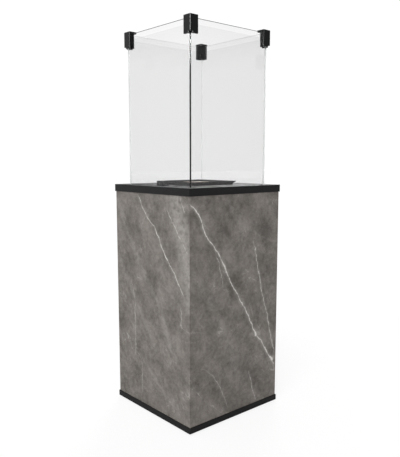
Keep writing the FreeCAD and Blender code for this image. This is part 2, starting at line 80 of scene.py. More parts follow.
MM = 0.001
FACE_HALF = 0.210          # half width that the stone's pattern is laid out over, in metres
SLAB_HEIGHT = 0.820        # height that the stone's pattern is laid out over, in metres
BAND_SPAN = 0.1            # depth of pane that the tints at its top are laid out over, in metres

# Places in mm.
FOOT_AT = 165              # from the column's middle to each foot
CLIP_AT, CLIP_TOP = 159, 1333
PANEL_SCREW_X, PANEL_SCREW_Y, PANEL_SCREW_Z = 186, 207, (680, 745)
NICHE_BACK = 160           # the face that carries the dial marks
KNOB_AT = (35, 165, 714)
IGNITER_AT = (-40, 152, 714)
REAR = (0, 1, 0)           # the way the controls face

# Parts of a piece that take another finish, in metres.
# Faces past NEAR_CORNER take a dark edge colour that is painted shade.
NEAR_CORNER = -0.16        # faces past this in x and in y are at the near corner of the panes
WIRE_AT, WIRE_REACH = (-0.146, 0.006), 0.0012

# The studio.
CAMERA_TILT, CAMERA_HEADING = 8.02, -41.0      # degrees down and round
CAMERA_SHIFT = 0.0216                          # in widths of the frame
BRIGHT_WAY = (-0.82, 0.45, 0.35)               # towards the studio's bright side
FLOOR_LIT, FLOOR_SEEN = 0.62, 0.2              # share of the floor's colour that is lit
FLOOR_GLOW, BACKDROP_GLOW = 0.84, 1.02         # glow where they are in plain sight


# ---- colour, nodes and meshes ---------------------------------------------------------------
def tone(code):
    """Linear red, green and blue of an sRGB hex colour."""
    parts = [int(code[i:i + 2], 16) / 255 for i in (1, 3, 5)]
    return tuple(c / 12.92 if c <= 0.04045 else ((c + 0.055) / 1.055) ** 2.4 for c in parts)


def rgba(colour):
    return (*tuple(colour)[:3], 1.0)


def grain(size_mm):
    """Noise scale whose blotches are about this many millimetres across."""
    return 1000.0 / size_mm


def feed(tree, socket, value):
    """Links a node or an output to a socket, or sets the socket's own value."""
    if isinstance(value, bpy.types.Node):
        value = next(out for out in value.outputs if out.enabled)
    if isinstance(value, bpy.types.NodeSocket):
        tree.links.new(value, socket)
    else:
        socket.default_value = value


def add(tree, kind, inputs=None, points=None, stops=None, **options):
    """Adds a node with its options and the values or links of its inputs.

    points are a curve's points, and stops are a ramp's places and colours.
    """
    node = tree.nodes.new("ShaderNode" + kind)
    for key, value in options.items():
        setattr(node, key, value)
    for key, value in (inputs or {}).items():
        feed(tree, node.inputs[key], value)
    if points:
        curve = node.mapping.curves[0]
        while len(curve.points) < len(points):
            curve.points.new(0.5, 0.5)
        for knot, place in zip(curve.points, sorted(points)):
            knot.location = place
            knot.handle_type = "AUTO_CLAMPED"
        node.mapping.update()
    if stops:
        while len(node.color_ramp.elements) < len(stops):
            node.color_ramp.elements.new(0.5)
        for stop, (place, colour) in zip(node.color_ramp.elements, stops):
            stop.position, stop.color = place, rgba(colour)
    return node


def blank(name):
    """A new material, its tree, main shader and output, and the piece's coordinates in metres."""
    material = bpy.data.materials.new(name)
    material.use_nodes = True
    tree = material.node_tree
    tree.nodes.clear()
    shader = add(tree, "BsdfPrincipled")
    output = add(tree, "OutputMaterial", {"Surface": shader})
    place = add(tree, "TexCoord").outputs["Object"]
    return material, tree, shader, output, place


def plug(tree, shader, **links):
    """Links or sets the shader's sockets; underscores in the names stand for spaces."""
    for key, value in links.items():
        feed(tree, shader.inputs[key.replace("_", " ")], value)


def settings():
    """The sizes and colours that a user has set."""
    return bpy.context.scene.plinth


def stand(name, mesh, body, slot, *materials, smooth=True, replaces=()):
    """Makes an object of a mesh that is already in place, and lets it ride a body."""
    piece = bpy.data.objects.new(name, mesh)
    bpy.context.scene.collection.objects.link(piece)
    mesh.materials.clear()
    for material in materials:
        mesh.materials.append(material)
    for face in mesh.polygons:
        face.use_smooth = smooth
    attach(piece, body)
    if replaces:
        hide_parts(*replaces)
    return piece


def round_edges(piece, radius_mm, segments=2, angle=28):
    """Gives sharp edges the small radius that folding leaves; one segment is a flat chamfer."""
    bevel = piece.modifiers.new("edge radius", "BEVEL")
    bevel.width = radius_mm * MM
    bevel.segments = segments
    bevel.limit_method = "ANGLE"
    bevel.angle_limit = math.radians(angle)
    bevel.use_clamp_overlap = False
    bevel.harden_normals = segments > 1
    return piece


def softened(node, slot, material, radius_mm, segments=2, extra=()):
    """A merged copy of a CAD piece, with live rounded edges, that takes the piece's place."""
    source = frame["nodes"][node]
    mesh = bpy.data.meshes.new(node + "_mesh")
    mesh.from_pydata([v.co[:] for v in source.data.vertices], [],
                     [f.vertices[:] for f in source.data.polygons])
    shape = bmesh.new()
    shape.from_mesh(mesh)
    bmesh.ops.remove_doubles(shape, verts=shape.verts, dist=0.00002)
    bmesh.ops.dissolve_limit(shape, angle_limit=math.radians(0.6), verts=shape.verts,
                             edges=shape.edges)
    shape.to_mesh(mesh)
    shape.free()
    piece = stand(node + "_finished", mesh, source["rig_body"], slot, material, *extra,
                  smooth=segments > 1, replaces=(node,))
    return round_edges(piece, radius_mm, segments) if radius_mm else piece


def coated(node, material):
    """Keeps a CAD piece as it is and gives it its finish."""
    data = frame["nodes"][node].data
    data.materials.clear()
    data.materials.append(material)


def turned(profile, steps=40):
    """Mesh of a shape turned about +Z; the profile is (radius, height) in mm, from the top down."""
    mesh = bpy.data.meshes.new("profile")
    mesh.from_pydata([(r * MM, 0, z * MM) for r, z in profile],
                     [(i, i + 1) for i in range(len(profile) - 1)], [])
    piece = bpy.data.objects.new("profile", mesh)
    bpy.context.scene.collection.objects.link(piece)
    screw = piece.modifiers.new("turn", "SCREW")
    screw.steps = screw.render_steps = steps
    screw.use_merge_vertices = True
    screw.merge_threshold = 0.00001
    return applied(piece)


def applied(piece):
    """The mesh that a piece's modifiers make; the piece itself is removed."""
    bpy.context.view_layer.update()
    seen = piece.evaluated_get(bpy.context.evaluated_depsgraph_get())
    mesh = bpy.data.meshes.new_from_object(seen)
    bpy.data.objects.remove(piece)
    return mesh


def lofted(rings):
    """Mesh of a closed shape from (sides, radius, height) rings in mm, from the top down."""
    shape = bmesh.new()
    loops = []
    for sides, radius, height in rings:
        ring = [shape.verts.new((radius * MM * math.cos(math.tau * k / sides),
                                 radius * MM * math.sin(math.tau * k / sides), height * MM))
                for k in range(sides)]
        loops.append([shape.edges.new((ring[k], ring[(k + 1) % sides])) for k in range(sides)])
        if len(loops) in (1, len(rings)):
            shape.faces.new(ring)
    for upper, lower in zip(loops, loops[1:]):
        bmesh.ops.bridge_loops(shape, edges=upper + lower)
    bmesh.ops.recalc_face_normals(shape, faces=shape.faces)
    mesh = bpy.data.meshes.new("loft")
    shape.to_mesh(mesh)
    shape.free()
    return mesh


def slab(x0, x1, y0, y1, z0, z1):
    """Mesh of a block in mm, as a cage for a modifier to finish."""
    shape = bmesh.new()
    bmesh.ops.create_cube(shape, size=1.0)
    bmesh.ops.scale(shape, vec=((x1 - x0) * MM, (y1 - y0) * MM, (z1 - z0) * MM), verts=shape.verts)
    bmesh.ops.translate(shape, verts=shape.verts,
                        vec=((x0 + x1) / 2 * MM, (y0 + y1) / 2 * MM, (z0 + z1) / 2 * MM))
    mesh = bpy.data.meshes.new("slab")
    shape.to_mesh(mesh)
    shape.free()
    return mesh


def gathered(parts):
    """One mesh from (mesh, matrix) pairs."""
    shape = bmesh.new()
    for mesh, matrix in parts:
        copy = mesh.copy()
        copy.transform(matrix)
        shape.from_mesh(copy)
        bpy.data.meshes.remove(copy)
    mesh = bpy.data.meshes.new("gathered")
    shape.to_mesh(mesh)
    shape.free()
    return mesh


def at(x, y, z, axis=(0, 0, 1)):
    """Matrix that puts a shape made about +Z at a point in mm, along an axis."""
    aim = Vector((0, 0, 1)).rotation_difference(Vector(axis)).to_matrix().to_4x4()
    return Matrix.Translation(Vector((x, y, z)) * MM) @ aim


# ---- materials ------------------------------------------------------------------------------
def powder_coat(name, colour, roughness, grain_mm=1.6, depth=0.00006, ior=1.32):
    """Folded or cast metal, powder coated black: even and nearly matt, with a fine orange peel.

    The real peel is about 0.4 mm; it is drawn a few times coarser so that it shows.  The usual
    IOR of about 1.5 is lowered, which keeps the black dark at a low angle.
    """
    material, tree, shader, _, place = blank(name)
    peel = add(tree, "TexNoise", {"Vector": place, "Scale": grain(grain_mm), "Detail": 3.0})
    cloud = add(tree, "TexNoise", {"Vector": place, "Scale": grain(55), "Detail": 2.0})
    speck = add(tree, "MapRange", {"Value": peel, "From Min": 0.35, "From Max": 0.7,
                                   "To Min": 0.85, "To Max": 1.25})
    worn = add(tree, "MapRange", {"Value": cloud, "From Min": 0.3, "From Max": 0.7,
                                  "To Min": roughness - 0.05, "To Max": roughness + 0.05})
    shade = add(tree, "VectorMath", {0: tuple(colour), "Scale": speck}, operation="SCALE")
    bump = add(tree, "Bump", {"Height": peel, "Strength": 0.35, "Distance": depth})
    plug(tree, shader, Base_Color=shade, Roughness=worn, Normal=bump, IOR=ior)
    return material


def sintered_stone(name, across, veins):
    """Sintered stone slab, pressed and fired, with a honed face: grey-brown with pale veins.

    across is the coordinate that runs across the slab.  A vein is (brightness, half width in mm,
    its route as (across, height) in mm); each wanders a little and fades at its ends.  Bands and
    cracks lie the way of the first vein.
    """
    look = settings()
    material, tree, shader, _, place = blank(name)
    parts = add(tree, "SeparateXYZ", {0: place})
    level = add(tree, "CombineXYZ", {"X": parts.outputs[across], "Y": parts.outputs["Z"]})
    wander = add(tree, "TexNoise", {"Vector": level, "Scale": grain(30), "Detail": 6.0,
                                    "Roughness": 0.62})
    drift = add(tree, "MapRange", {"Value": wander, "From Min": 0.3, "From Max": 0.7,
                                   "To Min": -0.0045, "To Max": 0.0045})
    moved = add(tree, "Math", {0: parts.outputs[across], 1: drift}, operation="ADD")
    run = add(tree, "MapRange", {"Value": moved, "From Min": -FACE_HALF, "From Max": FACE_HALF},
              clamp=False)
    height = add(tree, "Math", {0: parts.outputs["Z"], 1: SLAB_HEIGHT}, operation="DIVIDE")
    beads = add(tree, "TexNoise", {"Vector": level, "Scale": grain(16), "Detail": 3.0})
    beading = add(tree, "MapRange", {"Value": beads, "From Min": 0.36, "From Max": 0.60,
                                     "To Min": 0.40, "To Max": 1.25})
    glow = None
    for brightness, width, route in veins:
        knots = [(z * MM / SLAB_HEIGHT, (a * MM + FACE_HALF) / (2 * FACE_HALF)) for a, z in route]
        low, high = min(knots)[0], max(knots)[0]
        centre = add(tree, "FloatCurve", {"Value": height}, points=knots)
        ends = min(0.05, (high - low) / 3)
        reach = add(tree, "FloatCurve", {"Value": height},
                    points=[(low, 0.0), (low + ends, 1.0), (high - ends, 1.0), (high, 0.0)])
        gap = add(tree, "Math", {0: run, 1: centre}, operation="SUBTRACT")
        gap = add(tree, "Math", {0: gap}, operation="ABSOLUTE")
        half = width * MM / (2 * FACE_HALF)
        core = add(tree, "MapRange", {"Value": gap, "From Min": 0.0, "From Max": half,
                                      "To Min": brightness, "To Max": 0.0},
                   interpolation_type="SMOOTHSTEP")
        halo = add(tree, "MapRange", {"Value": gap, "From Min": 0.0, "From Max": 5 * half,
                                      "To Min": brightness * 0.14, "To Max": 0.0},
                   interpolation_type="SMOOTHSTEP")
        line = add(tree, "Math", {0: core, 1: halo}, operation="MAXIMUM")
        line = add(tree, "Math", {0: line, 1: reach}, operation="MULTIPLY")
        glow = line if glow is None else add(tree, "Math", {0: glow, 1: line}, operation="MAXIMUM")
    vein = add(tree, "Math", {0: glow, 1: beading}, operation="MULTIPLY", use_clamp=True)
    (left, top), (right, foot) = veins[0][2][0], veins[0][2][-1]
    lean = math.atan2(right - left, top - foot)
    slant = add(tree, "Mapping", {"Vector": level, "Rotation": (0, 0, lean),
                                  "Scale": (1.0, 3.0, 1.0)}, vector_type="TEXTURE")
    bands = add(tree, "TexNoise", {"Vector": slant, "Scale": grain(60), "Detail": 4.0,
                                   "Roughness": 0.6})
    clouds = add(tree, "TexNoise", {"Vector": level, "Scale": grain(85), "Detail": 6.0,
                                    "Roughness": 0.66, "Distortion": 0.4})
    mottle = add(tree, "TexNoise", {"Vector": level, "Scale": grain(14), "Detail": 6.0,
                                    "Roughness": 0.78})
    band_share, mottle_share = 0.55, 0.8
    body = add(tree, "Math", {0: bands, 1: band_share, 2: clouds}, operation="MULTIPLY_ADD")
    body = add(tree, "Math", {0: mottle, 1: mottle_share, 2: body}, operation="MULTIPLY_ADD")
    body = add(tree, "Math", {0: body, 1: 1 + band_share + mottle_share}, operation="DIVIDE")
    shade = add(tree, "ValToRGB", {"Fac": body},
                stops=[(0.41, look.stone_dark), (0.59, look.stone_light)])
    crack = add(tree, "TexNoise", {"Vector": slant, "Scale": grain(70), "Detail": 3.0,
                                   "Distortion": 1.2})
    ridge = add(tree, "Math", {0: crack, 1: 0.5}, operation="SUBTRACT")
    ridge = add(tree, "Math", {0: ridge}, operation="ABSOLUTE")
    hair = add(tree, "MapRange", {"Value": ridge, "From Max": 0.010, "To Min": 0.30, "To Max": 0.0},
               interpolation_type="SMOOTHSTEP")
    patch = add(tree, "MapRange", {"Value": clouds, "From Min": 0.50, "From Max": 0.62})
    hair = add(tree, "Math", {0: hair, 1: patch}, operation="MULTIPLY")
    vein = add(tree, "Math", {0: vein, 1: hair}, operation="MAXIMUM")
    shade = add(tree, "Mix", {0: vein, 6: shade, 7: rgba(look.stone_vein)},
                data_type="RGBA").outputs[2]
    pits = add(tree, "TexNoise", {"Vector": place, "Scale": grain(2.2), "Detail": 2.0})
    relief = add(tree, "Math", {0: vein, 1: 0.6, 2: pits}, operation="MULTIPLY_ADD")
    bump = add(tree, "Bump", {"Height": relief, "Strength": 0.25, "Distance": 0.00012})
    matt = add(tree, "MapRange", {"Value": mottle, "To Min": 0.66, "To Max": 0.5})
    plug(tree, shader, Base_Color=shade, Roughness=matt, Normal=bump, IOR=1.5)
    return material


def bare_metal(name, colour, roughness, lay, grain_mm, spread=0.12, blotch_mm=18):
    """Bare metal: lay stretches the fine lines that rolling, brushing or drawing leaves."""
    material, tree, shader, _, place = blank(name)
    along = add(tree, "Mapping", {"Vector": place, "Scale": lay})
    lines = add(tree, "TexNoise", {"Vector": along, "Scale": grain(grain_mm), "Detail": 4.0})
    blotch = add(tree, "TexVoronoi", {"Vector": place, "Scale": grain(blotch_mm)},
                 feature="SMOOTH_F1")
    mixed = add(tree, "Math", {0: blotch, 1: 0.35, 2: lines}, operation="MULTIPLY_ADD")
    gain = add(tree, "MapRange", {"Value": mixed, "From Min": 0.4, "From Max": 1.0,
                                  "To Min": 1 - spread, "To Max": 1 + spread / 2})
    shade = add(tree, "VectorMath", {0: tuple(colour), "Scale": gain}, operation="SCALE")
    dull = add(tree, "MapRange", {"Value": lines, "From Min": 0.3, "From Max": 0.7,
                                  "To Min": roughness - 0.07, "To Max": roughness + 0.09})
    bump = add(tree, "Bump", {"Height": lines, "Strength": 0.2, "Distance": 0.00005})
    plug(tree, shader, Base_Color=shade, Roughness=dull, Normal=bump, Metallic=1.0)
    return material


def heat_tinted_steel(name):
    """Stainless burner steel, tinted straw, brown and blue by the flame around its ports."""
    material, tree, shader, _, place = blank(name)
    level = add(tree, "VectorMath", {0: place, 1: (1.0, 1.0, 0.0)}, operation="MULTIPLY")
    away = add(tree, "VectorMath", {0: level}, operation="LENGTH").outputs["Value"]
    ragged = add(tree, "TexNoise", {"Vector": place, "Scale": grain(22), "Detail": 4.0})
    edge = add(tree, "Math", {0: ragged, 1: 0.035, 2: away}, operation="MULTIPLY_ADD")
    tint = add(tree, "ValToRGB", {"Fac": add(tree, "MapRange", {"Value": edge, "From Max": 0.13})},
               stops=[(0.25, tone("#4a4c58")), (0.48, tone("#6a4f45")), (0.66, tone("#8a7350")),
                      (0.85, tone("#9b9a96"))])
    lines = add(tree, "TexNoise", {"Vector": place, "Scale": grain(3), "Detail": 4.0})
    bump = add(tree, "Bump", {"Height": lines, "Strength": 0.2, "Distance": 0.00006})
    plug(tree, shader, Base_Color=tint, Normal=bump, Metallic=1.0,
         Roughness=add(tree, "MapRange", {"Value": lines, "To Min": 0.28, "To Max": 0.52}))
    return material


def guard_glass(name, edge=None, dullness=0.0, clearness=1.0, painted_shade_rim=None):
    """Toughened float glass: clear and neutral, with a lighter band along its top edge.

    The darker tint of the top 1.5 mm or so, given for the near panes, is painted shade.  An edge
    has one colour of its own, with faint cutter marks; a dark edge colour is painted shade.
    """
    look = settings()
    material, tree, shader, output, place = blank(name)
    if edge:
        cuts = add(tree, "TexNoise", {"Vector": place, "Scale": grain(4), "Detail": 2.0})
        wear = add(tree, "MapRange", {"Value": cuts, "To Min": 0.9, "To Max": 1.1})
        shade = add(tree, "VectorMath", {0: tuple(edge), "Scale": wear}, operation="SCALE")
        rough = add(tree, "MapRange", {"Value": cuts, "To Min": dullness - 0.05,
                                       "To Max": dullness + 0.05})
    else:
        height = add(tree, "SeparateXYZ", {0: place}).outputs["Z"]
        down = add(tree, "Math", {0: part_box("pane_front")[1].z, 1: height}, operation="SUBTRACT")
        down = add(tree, "Math", {0: down, 1: BAND_SPAN}, operation="DIVIDE")
        # For the near panes the first stops are a dark strip of painted shade; for the others, the
        # band's tint.
        painted_shade_rim, line = painted_shade_rim or look.glass_band, look.band_depth / BAND_SPAN
        shade = add(tree, "ValToRGB", {"Fac": down},
                    stops=[(0.0, painted_shade_rim), (0.014, painted_shade_rim),
                           (0.018, look.glass_band), (line - 0.012, look.glass_band),
                           (line - 0.008, look.glass_line), (line + 0.008, look.glass_line),
                           (line + 0.012, look.glass_top), (1.0, look.glass_body)])
        film = add(tree, "TexNoise", {"Vector": place, "Scale": grain(70), "Detail": 2.0})
        rough = add(tree, "MapRange", {"Value": film, "From Min": 0.35, "From Max": 0.75,
                                       "To Min": 0.0, "To Max": 0.012})
    plug(tree, shader, Base_Color=shade, Roughness=rough, IOR=1.52, Transmission_Weight=clearness)
    lamp = add(tree, "LightPath").outputs["Is Shadow Ray"]
    clear = add(tree, "BsdfTransparent", {"Color": rgba(tone("#f5f6f6"))})
    mixed = add(tree, "MixShader", {0: lamp, 1: shader, 2: clear})
    tree.links.new(mixed.outputs[0], output.inputs["Surface"])
    return material


def moulded(name, colour, roughness, grain_mm=0.9, depth=0.00005, ior=1.49):
    """Moulded polymer or rubber: an even colour with the fine texture of its mould."""
    material, tree, shader, _, place = blank(name)
    skin = add(tree, "TexNoise", {"Vector": place, "Scale": grain(grain_mm), "Detail": 2.0})
    flow = add(tree, "TexNoise", {"Vector": place, "Scale": grain(25), "Detail": 2.0})
    gain = add(tree, "MapRange", {"Value": flow, "From Min": 0.3, "From Max": 0.7,
                                  "To Min": 0.9, "To Max": 1.12})
    shade = add(tree, "VectorMath", {0: tuple(colour), "Scale": gain}, operation="SCALE")
    dull = add(tree, "MapRange", {"Value": skin, "To Min": roughness - 0.06,
                                  "To Max": roughness + 0.06})
    bump = add(tree, "Bump", {"Height": skin, "Strength": 0.3, "Distance": depth})
    plug(tree, shader, Base_Color=shade, Roughness=dull, Normal=bump, IOR=ior)
    return material


# Veins of each slab: the two near faces' are the object's own, the door's and the right's invented.
NEAR_VEINS = [
    (1.15, 3.3, [(-212, 764), (-178, 733), (-153, 690), (-134, 647), (-102, 614), (-68, 561),
                 (-26, 487), (20, 417), (62, 351), (97, 282), (130, 244), (170, 184), (206, 136)]),
    (1.60, 8.0, [(94, 291), (99, 281), (103, 271)]),
    (1.60, 7.0, [(176, 181), (182, 171), (188, 161)]),
    (0.55, 4.0, [(-66, 560), (-58, 548), (-44, 520)]),
    (0.72, 2.4, [(81, 621), (108, 511), (135, 402), (152, 356), (177, 261), (200, 186)]),
    (0.60, 2.2, [(65, 155), (82, 87), (105, 31)]),
    (0.35, 2.4, [(-165, 217), (-133, 202), (-95, 161), (-55, 90), (-36, 41)]),
    (0.45, 2.0, [(-98, 594), (-77, 542), (-61, 465)]),
    (0.45, 2.2, [(-212, 349), (-198, 346), (-150, 336)]),
    (0.07, 24.0, [(-60, 782), (10, 690), (95, 640), (200, 600)]),
    (0.07, 24.0, [(-205, 560), (-150, 470), (-60, 330), (20, 120)]),
]
LEFT_VEINS = [
    (0.95, 2.7, [(73, 779), (18, 703), (-27, 665), (-81, 583), (-133, 521), (-179, 460)]),
    (0.75, 2.2, [(-93, 736), (-129, 684), (-180, 622), (-202, 592)]),
    (0.55, 2.4, [(-160, 778), (-185, 725)]),
    # A broad, faint lightening of the face near the near corner, from the top down.
    (0.20, 75.0, [(-120, 815), (-190, 600), (-230, 400)]),
    (0.42, 2.2, [(120, 470), (102, 420), (98, 310), (98, 190)]),
    (0.32, 2.2, [(110, 215), (61, 180), (59, 60)]),
    (0.50, 2.2, [(-163, 427), (-162, 360), (-200, 347), (-212, 340)]),
    (0.09, 26.0, [(205, 760), (110, 600), (20, 480), (-60, 380), (-110, 250)]),
    (0.08, 24.0, [(205, 560), (120, 440), (40, 330), (-40, 220)]),
    (0.08, 24.0, [(60, 200), (-40, 120), (-140, 60)]),
]
DOOR_VEINS = [
    (0.80, 2.4, [(190, 640), (120, 560), (60, 500), (20, 400), (-60, 300), (-110, 190),
                 (-185, 110)]),
    (0.55, 2.2, [(-120, 645), (-100, 540), (-120, 430), (-90, 360)]),
    (0.45, 2.4, [(150, 300), (110, 190), (90, 60)]),
]
RIGHT_VEINS = [
    (0.85, 2.4, [(205, 620), (150, 560), (110, 470), (50, 400), (-10, 330), (-60, 230),
                 (-140, 140), (-207, 90)]),
    (0.55, 2.2, [(-170, 775), (-120, 660), (-90, 560), (-20, 500)]),
    (0.45, 2.4, [(160, 300), (120, 200), (130, 70)]),
]


FINISHES = {}


def finishes():
    """All materials by a maker's name; each is made once."""
    if "coat" in FINISHES:
        return FINISHES
    look = settings()
    FINISHES.update(
        # Powder-coated sheet: even black with a soft sheen, a little glossier on the deck.
        coat=powder_coat("powder_coated_steel", look.coat, look.coat_roughness),
        deck_coat=powder_coat("powder_coated_deck_steel", look.coat, look.coat_roughness - 0.06),
        # Enamelled tray: near black, duller and slightly uneven from the heat.
        tray_coat=powder_coat("enamelled_tray_steel", tone("#1b1b1c"), 0.5, 2.0),
        # Coated castings: the covers are smooth with sharp highlights, the inner blocks rough.
        casting=powder_coat("powder_coated_zinc_casting", look.clip, 0.24, 1.2, 0.00001, 1.37),
        rough_casting=powder_coat("powder_coated_rough_casting", look.clip, 0.62, 3.0, 0.0003,
                                  1.2),
        # Honed sintered stone: matt grey-brown with pale veins, a pattern to each slab.
        stone_near=sintered_stone("honed_sintered_stone_front", "X", NEAR_VEINS),
        stone_left=sintered_stone("honed_sintered_stone_left", "Y", LEFT_VEINS),
        stone_right=sintered_stone("honed_sintered_stone_right", "Y", RIGHT_VEINS),
        stone_door=sintered_stone("honed_sintered_stone_door", "X", DOOR_VEINS),
        # Zinc plate: cool grey with a dull spangle, seen only inside the cabinet.
        zinc=bare_metal("zinc_plated_steel", tone("#b4b7ba"), 0.42, (1.0, 1.0, 0.4), 2.5, 0.25, 9),
        # Rolled stainless sheet: fine lines along its length, soft reflections.
        stainless=bare_metal("brushed_stainless_steel", tone("#bdbcb8"), 0.30, (1.0, 1.0, 0.06),
                             1.2),
        # The same sheet over the flame: straw, brown and blue rings round the ports.
        blued=heat_tinted_steel("heat_tinted_stainless_steel"),
        # Mill-finish extrusion: pale, with faint draw lines along the channel.
        aluminium=bare_metal("extruded_aluminium", tone("#c9cacb"), 0.38, (1.0, 1.0, 4.0), 2.0,
                             0.10),
        # Bar-turned brass: warm yellow, slightly dulled by handling.
        brass=bare_metal("turned_brass", tone("#c2a15c"), 0.30, (1.0, 1.0, 3.0), 1.5, 0.18),
        # Drawn copper pipe: red-brown with dull oxide blotches.
        copper=bare_metal("drawn_copper", tone("#b87a5a"), 0.34, (1.0, 1.0, 1.0), 3.0, 0.3, 14),
        # Toughened glass: clear and neutral; the near panes also have a grey strip of painted shade
        # at the top.
        glass=guard_glass("toughened_glass"),
        glass_near=guard_glass("clear_toughened_glass_near", painted_shade_rim=tone("#8b8f8e")),
        # Its edges: dark and glossy at the near corner, dark and dull on top of the near panes,
        # and pale and satin elsewhere.  A real guard's edges are all alike: the dark ones are
        # painted shade, and so is the near panes' dark top strip, only for the look from the near
        # side.
        polished=guard_glass("polished_glass_edge", look.polished_edge, 0.10, 1.0),
        arrised=guard_glass("arrised_glass_edge", look.polished_edge, 0.60, 0.10),
        ground=guard_glass("ground_glass_edge", look.ground_edge, 0.55, 0.35),
        # Silicone: soft black, no clear highlight.
        silicone=moulded("black_silicone_rubber", tone("#1c1c1d"), 0.7, 1.4, 0.00006, 1.41),
        # Moulded nylon: an even colour with a soft highlight; the button is smoother.
        nylon=moulded("moulded_black_nylon", look.knob, 0.45, 1.0, 0.00005, 1.53),
        button=moulded("moulded_red_nylon", look.button, 0.35, 1.2, 0.00003, 1.53),
        # Pad-printed ink: flat white.
        print=moulded("pad_printed_white_ink", tone("#dcdcd8"), 0.55, 0.8, 0.00002),
        # Glazed alumina: white and smooth, with a hard small highlight.
        alumina=moulded("glazed_alumina", tone("#e6e2d8"), 0.18, 1.5, 0.00001, 1.65),
    )
    return FINISHES


# ---- sizes and colours that a user would change ---------------------------------------------
def shade_setting(name, description, code):
    return FloatVectorProperty(name=name, description=description, default=tone(code), size=3,
                               subtype="COLOR", min=0.0, max=1.0)


class PlinthSettings(PropertyGroup):
    coat: shade_setting("Steel coat", "Colour of the coat on base, deck and door frame", "#161617")
    coat_roughness: FloatProperty(name="Coat roughness", description="Roughness of the coat",
                                  default=0.44, min=0.1, max=1.0, subtype="FACTOR")
    fold_radius: FloatProperty(name="Fold radius", description="Radius of folded edges, in mm",
                               default=0.8, min=0.1, max=2.0)
    stone_dark: shade_setting("Stone dark", "Darkest tone of the stone's body", "#5a5550")
    stone_light: shade_setting("Stone light", "Lightest tone of the stone's body", "#8b857f")
    stone_vein: shade_setting("Stone vein", "Colour of the veins", "#e2dfda")
    stone_arris: FloatProperty(name="Stone arris", description="Bevel on the slabs, in mm",
                               default=0.5, min=0.1, max=2.0)
    glass_body: shade_setting("Glass body", "Tint of the panes away from their top", "#f8f8f8")
    glass_top: shade_setting("Glass below band", "Tint just under the top band", "#f3f3f3")
    glass_band: shade_setting("Glass band", "Tint of the band along the top edge", "#fcfcfc")
    glass_line: shade_setting("Glass line", "Tint of the thin line under the band", "#ffffff")
    band_depth: FloatProperty(name="Band depth", description="Depth of the top band of the panes",
                              default=0.017, min=0.0, max=0.08, unit="LENGTH")
    # The near corner's and near tops' edge colour is painted shade.
    polished_edge: shade_setting("Polished edge", "Colour of the near corner and near tops",
                                 "#262a29")
    ground_edge: shade_setting("Ground edge", "Colour of the satin ground edges", "#f6f8f7")
    pane_arris: FloatProperty(name="Pane arris", description="Bevel on the panes, in mm",
                              default=0.35, min=0.1, max=1.5)
    clip: shade_setting("Clips", "Colour of the corner clips", "#121213")
    clip_chamfer: FloatProperty(name="Clip chamfer", description="Chamfer on the clips, in mm",
                                default=1.0, min=0.2, max=3.0)
    knob: shade_setting("Knob", "Colour of the knob", "#1d1d1e")
    knob_ribs: IntProperty(name="Knob ribs", description="Grip ribs round the knob's skirt",
                           default=30, min=8, max=60)
    button: shade_setting("Igniter button", "Colour of the igniter button", "#a3201a")
    floor: shade_setting("Floor", "Colour of the studio floor", "#f7f7f7")
    bright_side: FloatProperty(name="Bright side", description="Light from the bright side",
                               default=0.62, min=0.0, max=3.0)
    dim_side: FloatProperty(name="Dim side", description="Light from the dim side",
                            default=0.20, min=0.0, max=3.0)
    key: FloatProperty(name="Key", description="Strength of the high soft light",
                       default=1.0, min=0.0, max=10.0)
    front: FloatProperty(name="Front", description="Strength of the light from the near side",
                         default=0.8, min=0.0, max=10.0)
    back: FloatProperty(name="Back", description="Strength of the light from behind",
                        default=0.8, min=0.0, max=10.0)
    camera_place: FloatVectorProperty(name="Camera", description="Where the camera stands",
                                      default=(-1.3172, -1.5336, 0.8958), size=3,
                                      subtype="TRANSLATION", unit="LENGTH")
    lens: FloatProperty(name="Lens", description="Focal length on a 36 mm sensor, in mm",
                        default=44.22, min=10.0, max=200.0)


# ---- operators, one for each group of pieces ------------------------------------------------
class PlinthOperator:
    """What all the operators share"""
    bl_options = {"REGISTER", "UNDO"}


def plain_sight(tree):
    """1 where the studio is seen straight or through glass, 0 where it lights or is mirrored."""
    path = add(tree, "LightPath")
    bounces = add(tree, "Math", {0: path.outputs["Diffuse Depth"], 1: path.outputs["Glossy Depth"]},
                  operation="ADD")
    return add(tree, "Math", {0: bounces, 1: 0.5}, operation="LESS_THAN")


